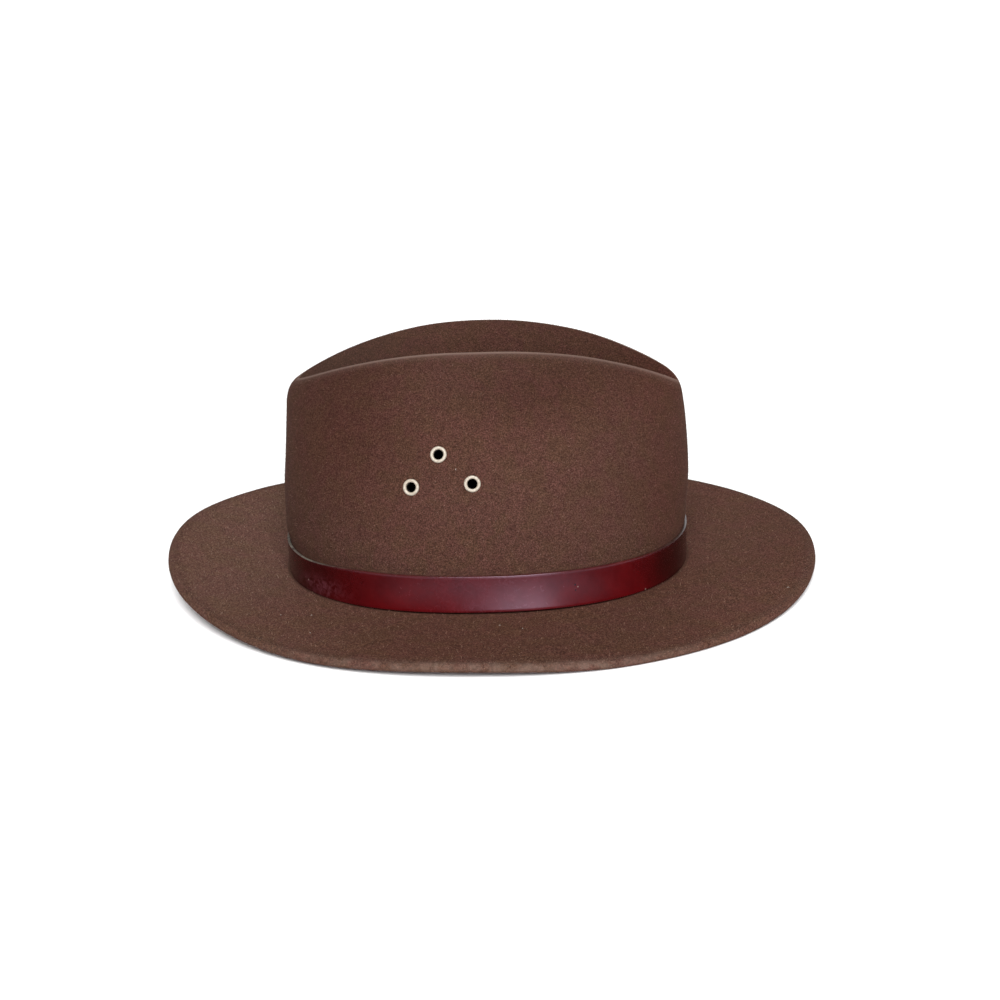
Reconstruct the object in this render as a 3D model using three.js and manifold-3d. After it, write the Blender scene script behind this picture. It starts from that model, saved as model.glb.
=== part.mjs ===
// Safari hat: crown and brim blocked from one felt, a plain leather band and ventilation eyelets.
// Millimetres. +X is the front of the hat, +Y the wearer's left, +Z up. The hat is drawn level, with
// z = 0 where the band meets the brim at front and rear, and the last lines set it down at rest.
import * as THREE from 'three';
import { mergeVertices } from 'three/addons/utils/BufferGeometryUtils.js';
import Module from 'manifold-3d';

const wasm = await Module();
wasm.setup();

// Felt
const FELT_THICKNESS = 2.2;
const WELT_THICKNESS = 4.4; // the brim edge is folded under once
const WELT_WIDTH = 8.5;
const EDGE_TURN = 0.7; // of half the welt's thickness, where its rounded edge meets the faces
const CLEARANCE = 0.3; // between the felt and whatever is fitted to it

// Head oval, outside of the felt at the foot of the crown
const HEAD_HALF_LENGTH = 103.9;
const HEAD_HALF_WIDTH = 85.4;
const OVAL_POWER = 0.921; // of cosine and sine: 1 is an ellipse, less is fuller at the corners
const EGG = 0.014; // share by which the rear is wider and the front narrower
const SIDE_LIFT = 2.4; // the foot of the crown is higher at the sides than at front and rear

// Leather band
const BAND_HEIGHT = 18.6;
const BAND_THICKNESS = 1.8;
const BAND_EDGE = 0.4; // bevel of the cut edges
const BAND_LAP = 4; // overlap of its ends on the far side, in steps round the ring

// Crest, the ridge line round the dent, seen from above as a pointed oval
const CREST_FRONT = 95.5;
const CREST_REAR = 94.5;
const CREST_HALF_WIDTH = 36;
const CREST_COSINE_POWER = 1.05;
const CREST_SINE_POWER = { front: 1.3, rear: 1.05 }; // the front is the more pointed end
const CREST_TOP = 118.3; // above the foot of the crown, at mid length
const CREST_DROP = 20; // from there to the tips
const CREST_DROP_POWER = 2.2;

// Dent along the top of the crown
const DENT_DEPTH = 30; // at mid length, below the crest
const DENT_WALL_POWER = 1.25; // keeps the fold at the crest tighter than the one at the bottom
const DENT_SHORTENING = 0.15; // the rings of the dent draw in from the tips

// Pinch in each side of the crown, ahead of the middle
const PINCH_DEPTH = 5;
const PINCH_FORWARD = 42;
const PINCH_HEIGHT = 92;
const PINCH_HALF_LENGTH = 27;
const PINCH_HALF_HEIGHT = 17;

// Brim edge from front to rear, the same on both sides: width beyond the foot of the crown and
// height of the middle of the edge
const brimStations = [
  { angle: 0, width: 65.6, height: 3.4 },
  { angle: 30, width: 65.8, height: -0.2 },
  { angle: 60, width: 64.4, height: -1.3 },
  { angle: 90, width: 63.5, height: 2.5 },
  { angle: 120, width: 62.3, height: 1.7 },
  { angle: 150, width: 61.1, height: 7.9 },
  { angle: 180, width: 61.0, height: 13.5 },
];
const BRIM_CURL_POWER = 1.35; // the brim leaves the crown level and turns up towards its edge

// Rings of the brim between the foot of the crown (0) and the inner line of the welt (1)
const brimShares = [0.09, 0.22, 0.45, 0.72];

// Rings of the crown above the band: share of the way up to the crest, and half sizes there
const crownRows = [
  { rise: 0.0, front: 104.1, rear: 104.1, side: 85.4 },
  { rise: 0.05, front: 104.9, rear: 105.2, side: 85.4 },
  { rise: 0.144, front: 105.3, rear: 105.2, side: 84.3 },
  { rise: 0.334, front: 106.2, rear: 104.9, side: 80.6 },
  { rise: 0.523, front: 105.7, rear: 103.4, side: 74.5 },
  { rise: 0.675, front: 104.8, rear: 102.3, side: 67.6 },
  { rise: 0.8, front: 103.6, rear: 101.5, side: 60.3 },
  { rise: 0.896, front: 102.1, rear: 100.7, side: 52.0 },
  { rise: 0.945, front: 100.4, rear: 99.3, side: 46.4 },
  { rise: 0.982, front: 98.2, rear: 97.0, side: 40.6 },
  { rise: 1.0, front: CREST_FRONT, rear: CREST_REAR, side: CREST_HALF_WIDTH },
];

// Rings of the dent: share of the way from its bottom line (0) to the crest (1)
const dentShares = [0.93, 0.84, 0.71, 0.55, 0.38, 0.21, 0.06];

// Eyelets of one side, by their place on the wall of the crown
const eyeletPlaces = [
  { number: 1, rise: 0.582, angle: 98.5 },
  { number: 2, rise: 0.433, angle: 105.4 },
  { number: 3, rise: 0.447, angle: 90.1 },
];
const EYELET_BORE = 2.2; // radii
const EYELET_BARREL = 2.7;
const EYELET_FLANGE = 4.1;
const EYELET_CLENCH = 3.7;
const EYELET_RISE = 1.1; // of the flange above the felt
const EYELET_CLENCH_RISE = 0.9;
const EYELET_SIDES = 16;

// Section of an eyelet's rolled rim: shares of the way across it from the bore, and of its rise
const rolledRim = [
  { across: 0, up: 0.6 },
  { across: 0.25, up: 0.95 },
  { across: 0.6, up: 1 },
  { across: 0.9, up: 0.7 },
];

// Rest: front up by this many degrees, and the felt pressed flat at this height below z = 0
const REST_TILT = 0.34;
const REST_LEVEL = 2.5;

const RING_POINTS = 56;
const AROUND = 360 / RING_POINTS;

const signedPower = (value, power) => Math.sign(value) * Math.abs(value) ** power;
const mix = (from, to, share) => from + (to - from) * share;
const cosine = (angle) => Math.cos(THREE.MathUtils.degToRad(angle));
const sine = (angle) => Math.sin(THREE.MathUtils.degToRad(angle));

// One column of the brim table at any angle, as a smooth curve through its rows
function brimColumn(column, angle) {
  const step = brimStations[1].angle;
  const folded = Math.abs(((angle + 180) % 360 + 360) % 360 - 180);
  const row = Math.min(Math.floor(folded / step), brimStations.length - 2);
  const share = folded / step - row;
  const last = brimStations.length - 1;
  const at = (index) => brimStations[index < 0 ? -index : index > last ? 2 * last - index : index][column];
  const [a, b, c, d] = [at(row - 1), at(row), at(row + 1), at(row + 2)];
  return b + 0.5 * share * (c - a + share * (2 * a - 5 * b + 4 * c - d + share * (3 * (b - c) + d - a)));
}

function headOval(angle, extra) {
  const x = (HEAD_HALF_LENGTH + extra) * signedPower(cosine(angle), OVAL_POWER);
  const y = (HEAD_HALF_WIDTH + extra) * signedPower(sine(angle), OVAL_POWER);
  return new THREE.Vector2(x, y * (1 - EGG * x / HEAD_HALF_LENGTH));
}

function ovalNormal(angle) {
  const ahead = headOval(angle + 0.5, 0);
  const behind = headOval(angle - 0.5, 0);
  return new THREE.Vector2(ahead.y - behind.y, behind.x - ahead.x).normalize();
}

const footHeight = (angle) => SIDE_LIFT * sine(angle) ** 2;

// A point of the foot oval moved out by a distance, at a height
function outwardPoint(angle, distance, height) {
  const place = headOval(angle, 0).addScaledVector(ovalNormal(angle), distance);
  return new THREE.Vector3(place.x, place.y, height);
}

// Top of the brim: level at the crown, turning to its edge height at the inner line of the welt
function brimPoint(angle, distance) {
  const width = brimColumn('width', angle);
  const share = distance / width;
  const foot = footHeight(angle) - CLEARANCE;
  const edge = brimColumn('height', angle) + WELT_THICKNESS / 2;
  return outwardPoint(angle, distance, mix(foot, edge, share ** BRIM_CURL_POWER));
}

const crestSinePower = (x) => (x > 0 ? CREST_SINE_POWER.front : CREST_SINE_POWER.rear);
const crestHeight = (x) => CREST_TOP - CREST_DROP * Math.abs(x / CREST_FRONT) ** CREST_DROP_POWER;

function crownPoint(angle, row) {
  const lens = row.rise ** 2;
  const cosinePower = mix(OVAL_POWER, CREST_COSINE_POWER, lens);
  const along = signedPower(cosine(angle), cosinePower);
  const sinePower = mix(OVAL_POWER, crestSinePower(along), lens);
  const x = (along > 0 ? row.front : row.rear) * along;
  const y = row.side * signedPower(sine(angle), sinePower) * (1 - EGG * along * (1 - lens));
  const crestX = CREST_FRONT * signedPower(cosine(angle), CREST_COSINE_POWER);
  const bandTop = footHeight(angle) + BAND_HEIGHT;
  const z = mix(bandTop, crestHeight(crestX), row.rise);
  return new THREE.Vector3(x, y - Math.sign(y) * pinch(x, z), z);
}

function pinch(x, z) {
  const along = (x - PINCH_FORWARD) / PINCH_HALF_LENGTH;
  const up = (z - PINCH_HEIGHT) / PINCH_HALF_HEIGHT;
  return PINCH_DEPTH * Math.exp(-along * along - up * up);
}

// Half width of the crest oval at a distance along the hat
function crestHalfWidth(x) {
  const reach = Math.min(Math.abs(x) / (x > 0 ? CREST_FRONT : CREST_REAR), 1);
  const sineThere = Math.sqrt(1 - reach ** (2 / CREST_COSINE_POWER));
  return CREST_HALF_WIDTH * sineThere ** crestSinePower(x);
}

function dentPoint(angle, share) {
  const draw = 1 - DENT_SHORTENING * (1 - share);
  const along = signedPower(cosine(angle), CREST_COSINE_POWER);
  const x = (along > 0 ? CREST_FRONT : CREST_REAR) * along * draw;
  const y = share * CREST_HALF_WIDTH * signedPower(sine(angle), crestSinePower(along));
  const across = Math.min(Math.abs(y) / crestHalfWidth(x), 1);
  const wall = Math.sin(Math.PI / 2 * across ** DENT_WALL_POWER) ** 2;
  const crest = crestHeight(x);
  const bottom = mix(CREST_TOP - DENT_DEPTH, crestHeight(CREST_FRONT), (x / CREST_FRONT) ** 2);
  return new THREE.Vector3(x, y, mix(bottom, crest, wall));
}

const ring = (pointAt) => Array.from({ length: RING_POINTS }, (_, index) => pointAt(index * AROUND));

// The outside of the felt from the brim edge to the bottom of the dent, with its thickness
function outerRings() {
  const rings = [];
  const width = (angle) => brimColumn('width', angle);
  const innerLine = (angle) => width(angle) - WELT_WIDTH;
  rings.push({ points: ring((a) => brimPoint(a, width(a))), thickness: WELT_THICKNESS });
  rings.push({ points: ring((a) => brimPoint(a, innerLine(a))), thickness: WELT_THICKNESS });
  const pastLine = (angle) => innerLine(angle) - FELT_THICKNESS / 4;
  rings.push({ points: ring((a) => brimPoint(a, pastLine(a))), thickness: FELT_THICKNESS });
  for (const share of [...brimShares].reverse()) {
    rings.push({ points: ring((a) => brimPoint(a, share * innerLine(a))), thickness: FELT_THICKNESS });
  }
  for (const height of [-CLEARANCE, 1.5, BAND_HEIGHT / 2]) {
    const wall = (a) => outwardPoint(a, 0, footHeight(a) + height);
    rings.push({ points: ring(wall), thickness: FELT_THICKNESS });
  }
  for (const row of crownRows) {
    rings.push({ points: ring((a) => crownPoint(a, row)), thickness: FELT_THICKNESS });
  }
  for (const share of dentShares) {
    rings.push({ points: ring((a) => dentPoint(a, share)), thickness: FELT_THICKNESS });
  }
  return rings;
}

// Outward direction at a point of a grid of rings, from its four neighbours
function gridNormal(rings, ringIndex, index) {
  const before = rings[Math.max(ringIndex - 1, 0)].points[index];
  const after = rings[Math.min(ringIndex + 1, rings.length - 1)].points[index];
  const points = rings[ringIndex].points;
  const left = points[(index + RING_POINTS - 1) % RING_POINTS];
  const right = points[(index + 1) % RING_POINTS];
  const along = new THREE.Vector3().subVectors(right, left);
  return along.cross(new THREE.Vector3().subVectors(after, before)).normalize();
}

const restFloor = (x) => -REST_LEVEL - x * Math.tan(THREE.MathUtils.degToRad(REST_TILT));

// The felt as closed rings: edge, top, dent, then back along the inside
function feltRings() {
  const outer = outerRings();
  const inner = outer.map(({ points, thickness }, ringIndex) => points.map((point, index) => {
    const normal = gridNormal(outer, ringIndex, index);
    return point.clone().addScaledVector(normal, -thickness);
  }));
  const tops = outer.map(({ points }) => points);
  for (const under of inner.flat()) under.z = Math.max(under.z, restFloor(under.x));
  const round = (height) => tops[0].map((top, index) => {
    const outward = ovalNormal(index * AROUND);
    const middle = top.clone().add(inner[0][index]).multiplyScalar(0.5);
    const reach = WELT_THICKNESS / 2 * Math.sqrt(1 - height * height);
    const lift = height * (top.z - inner[0][index].z) / 2;
    return middle.add(new THREE.Vector3(outward.x * reach, outward.y * reach, lift));
  });
  return [round(0), round(EDGE_TURN), ...tops, ...[...inner].reverse(), round(-EDGE_TURN)];
}

// Triangles between neighbouring rings; the first ring follows the last unless a pair is skipped
function ringTriangles(ringCount, skippedRing) {
  const triangles = [];
  for (let from = 0; from < ringCount; from += 1) {
    if (from === skippedRing) continue;
    const to = (from + 1) % ringCount;
    for (let index = 0; index < RING_POINTS; index += 1) {
      const next = (index + 1) % RING_POINTS;
      const [a, b] = [from * RING_POINTS + index, from * RING_POINTS + next];
      const [c, d] = [to * RING_POINTS + index, to * RING_POINTS + next];
      triangles.push(a, b, d, a, d, c);
    }
  }
  return triangles;
}

// The strip that closes the last ring of the dent across its bottom line
function zipTriangles(ringIndex, facingUp) {
  const triangles = [];
  const start = ringIndex * RING_POINTS;
  const half = RING_POINTS / 2;
  for (let index = 0; index < half; index += 1) {
    const [left, leftNext] = [start + index, start + index + 1];
    const right = start + (RING_POINTS - index) % RING_POINTS;
    const rightNext = start + RING_POINTS - index - 1;
    const faces = [];
    if (index > 0) faces.push([left, leftNext, right]);
    if (index < half - 1) faces.push([leftNext, rightNext, right]);
    if (index === 0) faces[0] = [left, leftNext, rightNext];
    for (const [a, b, c] of faces) triangles.push(...(facingUp ? [a, b, c] : [a, c, b]));
  }
  return triangles;
}

function geometryFrom(points, triangles) {
  const geometry = new THREE.BufferGeometry().setFromPoints(points);
  geometry.setIndex(triangles);
  return geometry;
}

function toSolid(geometry) {
  const bare = geometry.clone();
  bare.deleteAttribute('normal');
  bare.deleteAttribute('uv');
  const merged = mergeVertices(bare);
  return new wasm.Manifold(new wasm.Mesh({
    numProp: 3,
    vertProperties: new Float32Array(merged.attributes.position.array),
    triVerts: new Uint32Array(merged.index.array),
  }));
}

function fromSolid(solid) {
  const mesh = solid.getMesh();
  const geometry = new THREE.BufferGeometry();
  geometry.setAttribute('position', new THREE.BufferAttribute(mesh.vertProperties, 3));
  geometry.setIndex(new THREE.BufferAttribute(mesh.triVerts, 1));
  return geometry;
}

// Place and outward direction of an eyelet; side is -1 on the wearer's right and 1 on the left
function eyeletFrame(place, side) {
  const rowAt = (rise) => {
    const above = crownRows.findIndex((row) => row.rise >= rise);
    const [low, high] = [crownRows[above - 1], crownRows[above]];
    const share = (rise - low.rise) / (high.rise - low.rise);
    const column = (name) => mix(low[name], high[name], share);
    return { rise, front: column('front'), rear: column('rear'), side: column('side') };
  };
  const at = (rise, angle) => crownPoint(side * angle, rowAt(rise));
  const point = at(place.rise, place.angle);
  const forward = at(place.rise, place.angle - 2).sub(at(place.rise, place.angle + 2));
  const upward = at(place.rise + 0.03, place.angle).sub(at(place.rise - 0.03, place.angle));
  const outward = forward.cross(upward).normalize().multiplyScalar(-side);
  return { point, turn: new THREE.Quaternion().setFromUnitVectors(new THREE.Vector3(0, 1, 0), outward) };
}

function cutEyeletHole(solid, { point, turn }) {
  const radius = EYELET_BARREL + CLEARANCE;
  const drill = new THREE.CylinderGeometry(radius, radius, 4 * FELT_THICKNESS, EYELET_SIDES);
  drill.applyQuaternion(turn).translate(point.x, point.y, point.z);
  return solid.subtract(toSolid(drill));
}

function feltGeometry(eyelets) {
  const rings = feltRings();
  const lastOuter = (rings.length - 3) / 2 + 1;
  const triangles = [
    ...ringTriangles(rings.length, lastOuter),
    ...zipTriangles(lastOuter, true),
    ...zipTriangles(lastOuter + 1, false),
  ];
  return fromSolid(eyelets.reduce(cutEyeletHole, toSolid(geometryFrom(rings.flat(), triangles))));
}

// The band: a strip a little longer than the way round, its outer end laid over the inner one
function bandGeometry() {
  const steps = RING_POINTS + BAND_LAP;
  const firstAngle = 90 - BAND_LAP / 2 * AROUND;
  const section = [
    [0, BAND_EDGE], [0, BAND_HEIGHT - BAND_EDGE], [BAND_EDGE, BAND_HEIGHT],
    [BAND_THICKNESS - BAND_EDGE, BAND_HEIGHT], [BAND_THICKNESS, BAND_HEIGHT - BAND_EDGE],
    [BAND_THICKNESS, BAND_EDGE], [BAND_THICKNESS - BAND_EDGE, 0], [BAND_EDGE, 0],
  ];
  const points = [];
  for (let step = 0; step <= steps; step += 1) {
    const angle = firstAngle + step * AROUND;
    const overlap = THREE.MathUtils.smoothstep(step, RING_POINTS - BAND_LAP, RING_POINTS);
    const outwards = CLEARANCE + overlap * (BAND_THICKNESS + CLEARANCE);
    for (const [depth, height] of section) {
      points.push(outwardPoint(angle, outwards + depth, footHeight(angle) + height));
    }
  }
  const triangles = [];
  const around = section.length;
  for (let step = 0; step < steps; step += 1) {
    for (let corner = 0; corner < around; corner += 1) {
      const [a, b] = [step * around + corner, step * around + (corner + 1) % around];
      triangles.push(a, b + around, a + around, a, b, b + around);
    }
  }
  const end = steps * around;
  for (let corner = 1; corner < around - 1; corner += 1) {
    triangles.push(0, corner + 1, corner, end, end + corner, end + corner + 1);
  }
  return geometryFrom(points, triangles);
}

// An eyelet, along Y: rolled flange outside the felt, barrel through it and clenched rim inside
function eyeletGeometry() {
  const inside = -FELT_THICKNESS - CLEARANCE;
  const rim = (radius, base, rise) => rolledRim.map(({ across, up }) => (
    [mix(EYELET_BORE, radius, across), base + rise * up]
  ));
  const profile = [
    ...rim(EYELET_CLENCH, inside, -EYELET_CLENCH_RISE),
    [EYELET_CLENCH, inside], [EYELET_BARREL, inside],
    [EYELET_BARREL, CLEARANCE], [EYELET_FLANGE, CLEARANCE],
    ...rim(EYELET_FLANGE, 0, EYELET_RISE).reverse(),
  ].map(([radius, height]) => new THREE.Vector2(radius, height));
  return new THREE.LatheGeometry([...profile, profile[0].clone()], EYELET_SIDES);
}

const felt = new THREE.MeshStandardMaterial({ color: '#5e4238', roughness: 0.95, metalness: 0 });
const leather = new THREE.MeshStandardMaterial({ color: '#52121a', roughness: 0.45, metalness: 0 });
const enamel = new THREE.MeshStandardMaterial({ color: '#d8cfb4', roughness: 0.4, metalness: 0 });

function namedMesh(name, geometry, material) {
  const mesh = new THREE.Mesh(geometry, material);
  mesh.name = name;
  return mesh;
}

const hat = new THREE.Group();
const eyeletFrames = [];
for (const [sideName, side] of [['right', -1], ['left', 1]]) {
  for (const place of eyeletPlaces) {
    const frame = eyeletFrame(place, side);
    const eyelet = namedMesh(`eyelet_${sideName}_${place.number}`, eyeletGeometry(), enamel);
    eyelet.position.copy(frame.point);
    eyelet.quaternion.copy(frame.turn);
    hat.add(eyelet);
    eyeletFrames.push(frame);
  }
}
hat.add(namedMesh('felt_body', feltGeometry(eyeletFrames), felt));
hat.add(namedMesh('leather_band', bandGeometry(), leather));

// Set down: tilted to rest, with the origin under the middle of the hat
hat.rotation.y = -THREE.MathUtils.degToRad(REST_TILT);
const reach = new THREE.Box3().setFromObject(hat, true);
hat.position.set(-(reach.min.x + reach.max.x) / 2, -(reach.min.y + reach.max.y) / 2, -reach.min.z);

export default hat;
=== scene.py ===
import math

import bmesh
import bpy
import numpy as np
from mathutils import Matrix, Quaternion, Vector
from mathutils.bvhtree import BVHTree


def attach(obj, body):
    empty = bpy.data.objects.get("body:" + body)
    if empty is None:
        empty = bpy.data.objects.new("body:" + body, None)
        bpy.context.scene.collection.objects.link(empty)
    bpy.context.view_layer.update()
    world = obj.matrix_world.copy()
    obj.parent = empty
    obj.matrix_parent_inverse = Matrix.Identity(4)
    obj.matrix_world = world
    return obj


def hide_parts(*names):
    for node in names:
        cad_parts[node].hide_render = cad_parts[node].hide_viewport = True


# The hat's tables are in millimetres, as a hatter measures; MM makes them metres
MM = 0.001
UP = Vector((0, 0, 1))

# Felt
FELT_THICKNESS = 2.2
WELT_THICKNESS = 4.4
WELT_WIDTH = 8.5
CLEARANCE = 0.3
FOOT_FILLET = 0.8
WELT_GROOVE = 0.16
WELT_CROWN = 0.10
UNEVENNESS = 0.22

# Head oval at the foot of the crown
HEAD_HALF_LENGTH = 103.9
HEAD_HALF_WIDTH = 85.4
OVAL_POWER = 0.921
EGG = 0.014
SIDE_LIFT = 2.4

# Leather band
BAND_HEIGHT = 18.6
BAND_THICKNESS = 1.5
BAND_SLACK = 0.15
BAND_LAP_DEGREES = 25.7
BAND_EDGE_ROUND = 0.32
BAND_LEAN = 2.45  # how far the foot of the felt pushes its lower edge out, at the middle of each side
BAND_LIFT = 0.9  # of that lower edge
BAND_SLIP = 1.8  # of the upper edge, down the felt at the rear

# Crest round the dent, the dent and the two pinches
CREST_FRONT = 95.5
CREST_REAR = 94.5
CREST_HALF_WIDTH = 36.0
CREST_COSINE_POWER = 1.05
CREST_SINE_POWER_FRONT = 1.3
CREST_SINE_POWER_REAR = 1.05
CREST_TOP = 118.3
CREST_DROP = 20.0
CREST_DROP_POWER = 2.2
DENT_DEPTH = 30.0
DENT_WALL_POWER = 1.25
DENT_SHORTENING = 0.15
PINCH_DEPTH = 5.0
PINCH_FORWARD, PINCH_HALF_LENGTH = 42.0, 27.0
PINCH_HEIGHT, PINCH_HALF_HEIGHT = 92.0, 17.0
DENT_OPENING = 8.2  # how far the dent runs out over the front of the crown, along the felt
DENT_OPENING_REACH = (29.0, 14.0)  # degrees to the wearer's right and left of the front
DENT_OPENING_BLEND = 28.0

BRIM_CURL_POWER = 1.35
BRIM_STEP = 30
BRIM_WIDTHS = (65.6, 65.8, 64.4, 63.5, 62.3, 61.1, 61.0)
BRIM_HEIGHTS = (3.4, -0.2, -1.3, 2.5, 1.7, 7.9, 13.5)

# Rings of the crown: share of the way from the band to the crest, then half sizes
CROWN_ROWS = (
    # rise, front, rear, side
    (0.0, 104.1, 104.1, 85.4),
    (0.05, 104.9, 105.2, 85.4),
    (0.144, 105.3, 105.2, 84.3),
    (0.334, 106.2, 104.9, 80.6),
    (0.523, 105.7, 103.4, 74.5),
    (0.675, 104.8, 102.3, 67.6),
    (0.8, 103.6, 101.5, 60.3),
    (0.896, 102.1, 100.7, 52.0),
    (0.945, 100.4, 99.3, 46.4),
    (0.982, 98.2, 97.0, 40.6),
    (1.0, CREST_FRONT, CREST_REAR, CREST_HALF_WIDTH),
)
DENT_SHARES = (0.93, 0.84, 0.71, 0.55, 0.38, 0.21, 0.06)

# Eyelets of one side: rise and angle on the crown
EYELET_PLACES = {1: (0.582, 98.5), 2: (0.433, 105.4), 3: (0.447, 90.1)}
EYELET_BORE = 2.42
EYELET_BARREL = 2.75
EYELET_FLANGE = 4.0
EYELET_CLENCH = 3.7

# Rest: the hat's own frame in the row frame
REST_TILT = 0.34
REST_LEVEL = 2.5
HAT_SHIFT = (-2.02, 0.0, 2.5)

# Camera, aimed at the middle of the foot of the crown
CAMERA_AZIMUTH = 4.18
CAMERA_ELEVATION = 21.12
CAMERA_ROLL = -1.93
CAMERA_DISTANCE = 0.820
CAMERA_LENS = 55.04
CAMERA_SHIFT = (0.0122, 0.0520)

# Two rows of stitches hold down the free end of the band
STITCH_PITCH = 3.1
STITCH_LENGTH = 2.2
THREAD_THICKNESS = 0.55
STITCH_ROWS = (2.6, 8.2)  # from the free end
STITCHES_IN_ROW = 5

# Lint caught in the nap: place from above on the brim, or from the right on the crown, then size
LINT_RADIUS = 0.16
LINT_ON_BRIM = (
    # x, y, length, turn
    (151.8, -61.3, 1.3, 20.0), (-80.2, -88.8, 1.1, 55.0), (-77.1, -110.9, 0.8, 140.0),
    (12.1, -103.4, 0.7, 5.0), (23.1, -107.0, 0.9, 100.0), (-95.0, -90.4, 0.6, 40.0),
    (-118.0, 74.0, 0.9, 120.0), (64.0, 121.0, 0.8, 60.0),
)
LINT_ON_CROWN = (
    # x, z, length, turn
    (-10.3, 73.5, 0.9, 80.0),
)

# Nap: fibres a millimetre long, scaled and strewn over each part of the felt
FIBRE_HALF_WIDTH = 0.045
LEAN_SEED, SPIN_SEED, LENGTH_SEED, TONE_SEED = 11, 12, 13, 14
NAP_VALUES = ("Where", "Fibres per square metre", "Shortest", "Longest", "Least lean", "Most lean", "Seed")
NAP = {
    "crown_nap": ("crown_nap", 5.0e5, 0.5, 1.3, 0.85, 1.45, 5),
    "brim_nap": ("brim_nap", 8.0e5, 0.6, 1.4, 1.3, 1.5, 6),
    "edge_nap": ("rim_nap", 2.6e6, 0.4, 0.9, 0.5, 1.4, 7),
}

# Studio: the far lights, the sky as it lights the hat and as the camera sees it, and the floor in metres
FAR_LIGHTS = (
    # name, azimuth, elevation, spread, strength, colour
    ("high_front", 6, 48, 40, 5.33, (1.0, 1.0, 1.0)),
    ("low_front", 14, 5, 26, 2.4, (1.0, 0.94, 1.0)),
    ("rear_fill", 186, 24, 60, 1.65, (1.0, 1.0, 1.0)),
)
SKY_LIGHT = 0.05
SKY_SEEN = 1.0
FLOOR_HALF_SIZE = 30.0

# Fineness of the meshes
RING_POINTS = 320
FINE_ROW = 2.3  # spacing of the fine rings of the felt, in millimetres
BAND_STEPS = 480
DRILL_SIDES = 32
DRILL_REACH = 0.006  # in metres, to both sides of the felt
EYELET_SEGMENTS = 56
ROUND_TURNS = (22.5, 45.0, 67.5)  # degrees at which a rounded corner has its rings
UNMARKED = 100.0  # how far below the crest the points under and inside the felt count as


def degrees_round(count):
    return np.arange(count) * 360.0 / count


def cosine(angles):
    return np.cos(np.radians(angles))


def sine(angles):
    return np.sin(np.radians(angles))


def signed_power(value, power):
    return np.sign(value) * np.abs(value) ** power


def mix(low, high, share):
    return low + (high - low) * share


def ease(value, low, high):
    """0 up to the low limit, 1 from the high one, and a smooth way between."""
    share = np.clip((value - low) / (high - low), 0.0, 1.0)
    return share * share * (3 - 2 * share)


def brim_column(values, angles):
    """A column of the brim table at any angles, as a smooth curve through its rows."""
    table, last = np.array(values), len(values) - 1
    folded = np.abs((angles + 180.0) % 360.0 - 180.0)
    row = np.minimum((folded // BRIM_STEP).astype(int), last - 1)
    share = folded / BRIM_STEP - row

    def at(index):
        mirrored = np.where(index < 0, -index, np.where(index > last, 2 * last - index, index))
        return table[mirrored]

    a, b, c, d = at(row - 1), at(row), at(row + 1), at(row + 2)
    cubic = 3 * (b - c) + d - a
    return b + 0.5 * share * (c - a + share * (2 * a - 5 * b + 4 * c - d + share * cubic))


def head_oval(angles):
    x = HEAD_HALF_LENGTH * signed_power(cosine(angles), OVAL_POWER)
    y = HEAD_HALF_WIDTH * signed_power(sine(angles), OVAL_POWER)
    return x, y * (1 - EGG * x / HEAD_HALF_LENGTH)


def oval_normals(angles):
    ahead_x, ahead_y = head_oval(angles + 0.5)
    behind_x, behind_y = head_oval(angles - 0.5)
    across, along = ahead_y - behind_y, behind_x - ahead_x
    length = np.hypot(across, along)
    return across / length, along / length


def foot_height(angles):
    return SIDE_LIFT * sine(angles) ** 2


def outward_ring(angles, distance, height):
    x, y = head_oval(angles)
    normal_x, normal_y = oval_normals(angles)
    z = np.broadcast_to(height, x.shape)
    return np.stack([x + normal_x * distance, y + normal_y * distance, z], axis=-1)


def brim_ring(angles, distance, lift=0.0):
    share = distance / brim_column(BRIM_WIDTHS, angles)
    foot = foot_height(angles) - CLEARANCE
    edge = brim_column(BRIM_HEIGHTS, angles) + WELT_THICKNESS / 2
    return outward_ring(angles, distance, mix(foot, edge, share ** BRIM_CURL_POWER) + lift)


def crest_height(x):
    return CREST_TOP - CREST_DROP * np.abs(x / CREST_FRONT) ** CREST_DROP_POWER


def crest_sine_power(x):
    return np.where(x > 0, CREST_SINE_POWER_FRONT, CREST_SINE_POWER_REAR)


def crown_ring(angles, row):
    rise, front, rear, side = row
    lens = rise ** 2
    along = signed_power(cosine(angles), mix(OVAL_POWER, CREST_COSINE_POWER, lens))
    across = signed_power(sine(angles), mix(OVAL_POWER, crest_sine_power(along), lens))
    x = np.where(along > 0, front, rear) * along
    y = side * across * (1 - EGG * along * (1 - lens))
    crest_x = CREST_FRONT * signed_power(cosine(angles), CREST_COSINE_POWER)
    z = mix(foot_height(angles) + BAND_HEIGHT, crest_height(crest_x), rise)
    return np.stack([x, y, z], axis=-1)


def pinch(x, z):
    along = (x - PINCH_FORWARD) / PINCH_HALF_LENGTH
    up = (z - PINCH_HEIGHT) / PINCH_HALF_HEIGHT
    return PINCH_DEPTH * np.exp(-along * along - up * up)


def crest_half_width(x):
    reach = np.minimum(np.abs(x) / np.where(x > 0, CREST_FRONT, CREST_REAR), 1.0)
    sine_there = np.sqrt(1 - reach ** (2 / CREST_COSINE_POWER))
    return CREST_HALF_WIDTH * sine_there ** crest_sine_power(x)


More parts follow.
